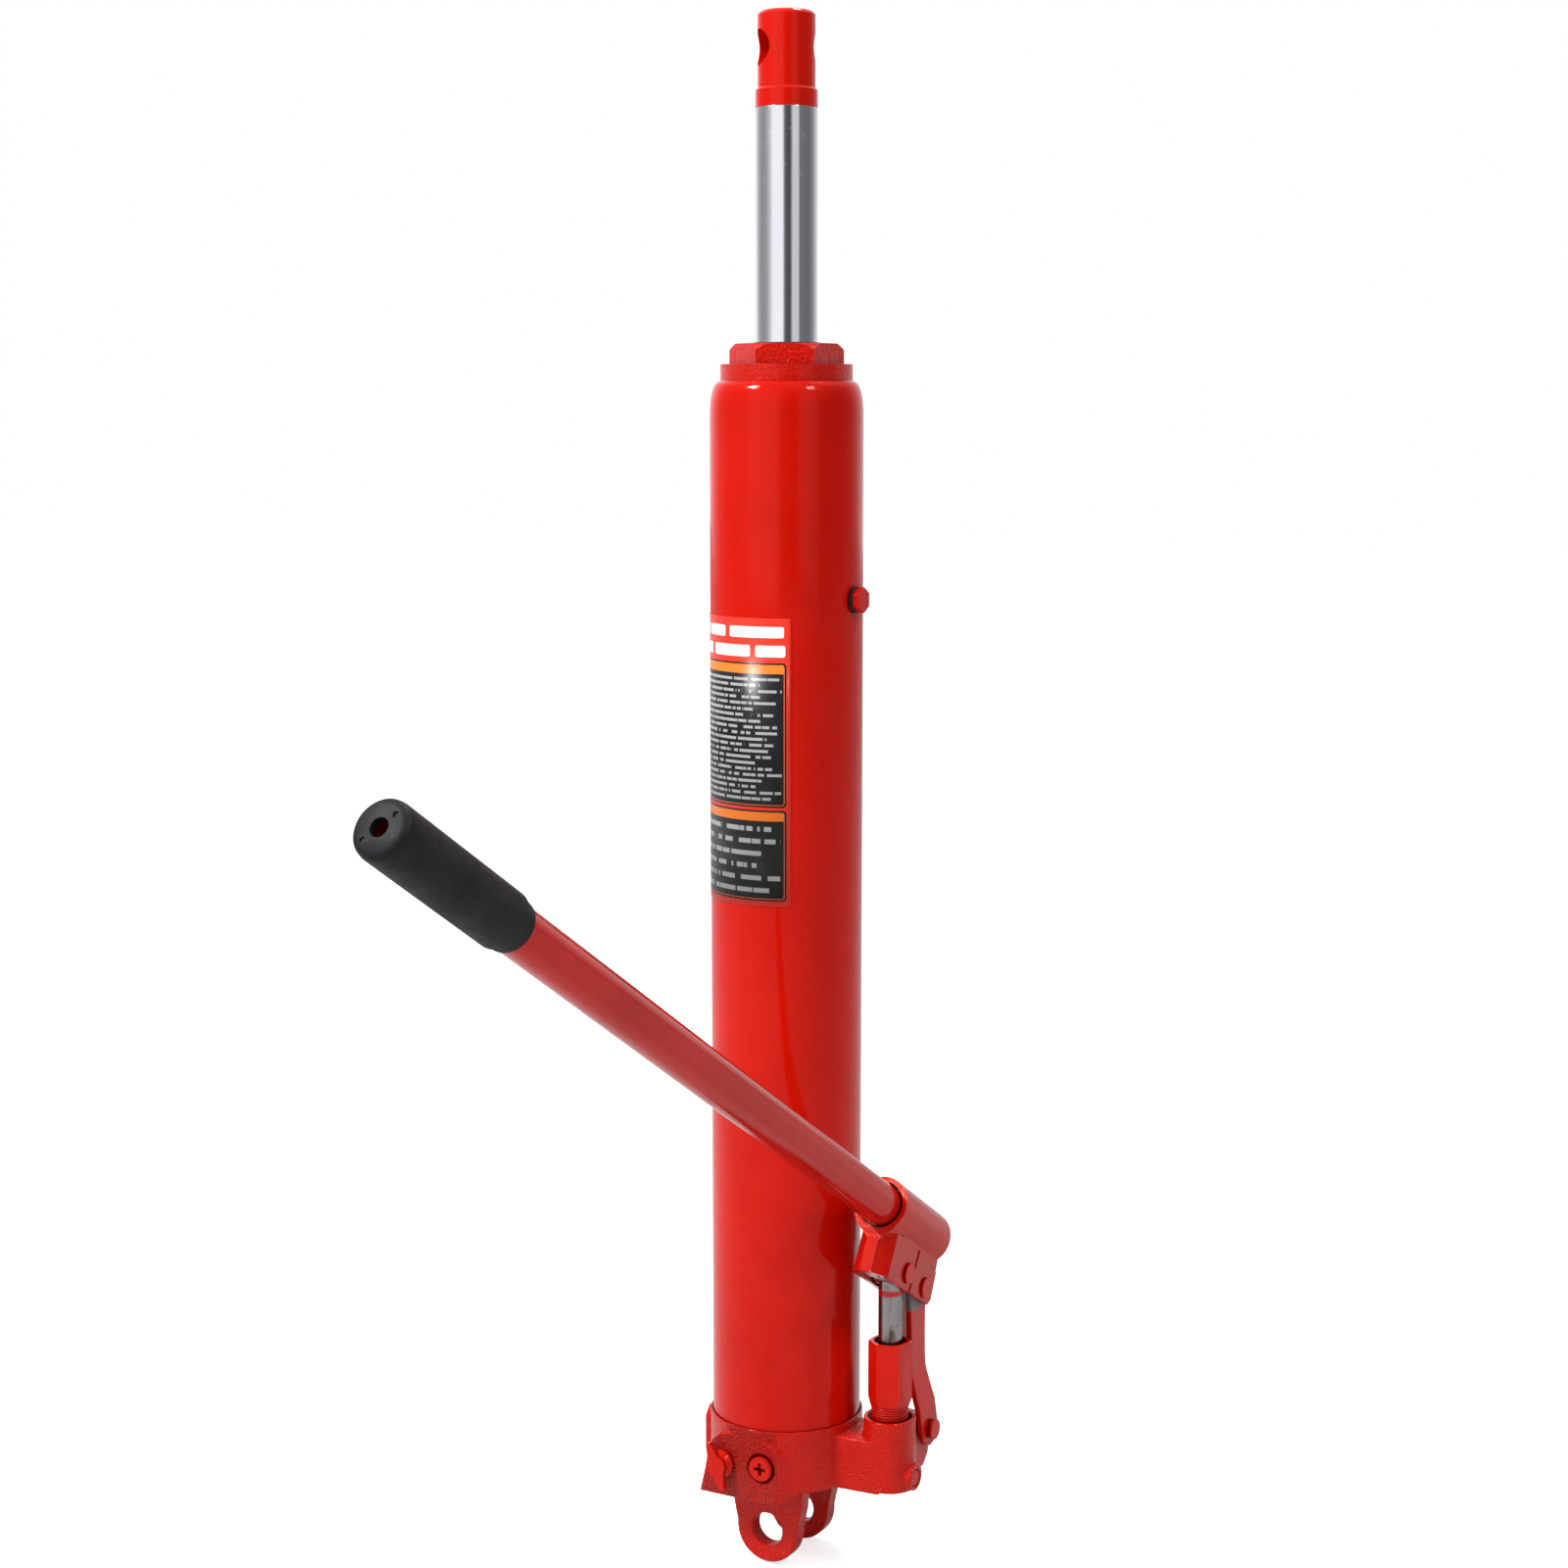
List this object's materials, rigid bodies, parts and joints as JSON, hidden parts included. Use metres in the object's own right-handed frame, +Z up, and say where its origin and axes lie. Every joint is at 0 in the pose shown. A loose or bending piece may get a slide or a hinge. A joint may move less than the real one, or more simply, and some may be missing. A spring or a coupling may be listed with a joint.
{
  "type": "long-ram hydraulic jack",
  "caption": "Hydraulic jack with a long ram, round reservoir tube, hand pump with lever handle, release valve, clevis base and cross hole in the ram end.",
  "frame": {"origin": "middle of the base clevis pin hole, on the ram axis", "axes": "+Z up the ram axis, +X from the ram to the hand pump, -Y the operator side with the release valve; the clevis pin lies along Y"},
  "size_m": [0.1072, 0.4276, 0.7171],
  "materials": {
    "cast_paint": "gloss red enamel over pebbled cast iron",
    "red_enamel": "gloss red enamel",
    "nut_paint": "gloss red enamel over rough faces",
    "socket_paint": "satin red enamel on pressed sheet",
    "link_paint": "satin red enamel, bare where the socket masked it",
    "handle_paint": "satin red enamel",
    "eye_paint": "gloss red enamel",
    "fastener_paint": "gloss red enamel",
    "ram_chrome": "polished hard chrome",
    "plunger_steel": "ground steel with oil stains",
    "cylinder_steel": "machined steel",
    "black_rubber": "matte black rubber",
    "grip_rubber": "matte charcoal rubber",
    "backup_plastic": "off-white plastic",
    "copper_washer": "soft copper",
    "label_vinyl": "printed vinyl with black panels"
  },
  "bodies": {
    "jack": {"base_casting": "cast_paint", "reservoir_tube": "red_enamel", "pressure_cylinder": "cylinder_steel", "top_nut": "nut_paint", "rod_wiper": "black_rubber", "rod_seal": "black_rubber", "tank_seal_lower": "black_rubber", "tank_seal_upper": "black_rubber", "label": "label_vinyl", "filler_plug": "fastener_paint", "filler_seal": "black_rubber", "pump_cylinder": "red_enamel", "pump_gasket": "copper_washer", "plunger_wiper": "black_rubber", "base_pin": "fastener_paint", "relief_plug": "fastener_paint", "relief_spring": "cylinder_steel", "relief_ball": "cylinder_steel", "suction_ball": "cylinder_steel", "outlet_ball": "cylinder_steel", "outlet_spring": "cylinder_steel", "passage_plug": "fastener_paint"},
    "seal_pack": {"piston_cup": "black_rubber", "piston_backup": "backup_plastic"},
    "ram": {"ram_rod": "ram_chrome", "ram_eye": "eye_paint", "ram_piston": "cylinder_steel", "piston_washer": "cylinder_steel", "piston_nut": "cylinder_steel"},
    "plunger": {"pump_plunger": "plunger_steel", "plunger_seal": "black_rubber"},
    "link": {"link_strap_outer": "link_paint", "link_strap_inner": "link_paint"},
    "socket": {"handle_socket": "socket_paint", "piston_pin": "fastener_paint", "link_pin": "fastener_paint"},
    "handle": {"handle_tube": "handle_paint", "handle_grip": "grip_rubber"},
    "valve_ball": {"release_ball": "cylinder_steel"},
    "valve": {"release_valve": "fastener_paint"}
  },
  "joints": [
    {"name": "ram_slide", "type": "slide", "parent": "jack", "child": "seal_pack", "axis": [0, 0, 1], "range_m": [-0.1035, 0.352]},
    {"name": "ram_turn", "type": "hinge", "parent": "seal_pack", "child": "ram", "pos_m": [0, 0, 0.1575], "axis": [0, 0, 1], "continuous": true},
    {"name": "link_swing", "type": "hinge", "parent": "jack", "child": "link", "pos_m": [0.055, 0.0252, 0.0467], "axis": [1, 0, 0], "range_deg": [-3.6, 0.6]},
    {"name": "pump_lever", "type": "hinge", "parent": "link", "child": "socket", "pos_m": [0.055, 0.0169, 0.1184], "axis": [1, 0, 0], "range_deg": [-5.8, 42.8]},
    {"name": "plunger_slide", "type": "slide", "parent": "jack", "child": "plunger", "axis": [0, 0, 1], "range_m": [-0.0128, 0.0018]},
    {"name": "handle_draw", "type": "slide", "parent": "socket", "child": "handle", "axis": [0, -0.8536, 0.521], "range_m": [0, 0.045]},
    {"name": "valve_travel", "type": "slide", "parent": "jack", "child": "valve_ball", "axis": [0, -1, 0], "range_m": [0, 0.00187]},
    {"name": "valve_turn", "type": "hinge", "parent": "valve_ball", "child": "valve", "pos_m": [-0.0153, -0.036, 0.036], "axis": [0, -1, 0], "range_deg": [0, 540]}
  ],
  "couplings": [
    {"joint": "link_swing", "follows": "pump_lever", "ratio": -0.081},
    {"joint": "plunger_slide", "follows": "pump_lever", "m_per_rad": -0.01695},
    {"joint": "valve_turn", "follows": "valve_travel", "rad_per_m": 5026.5}
  ]
}
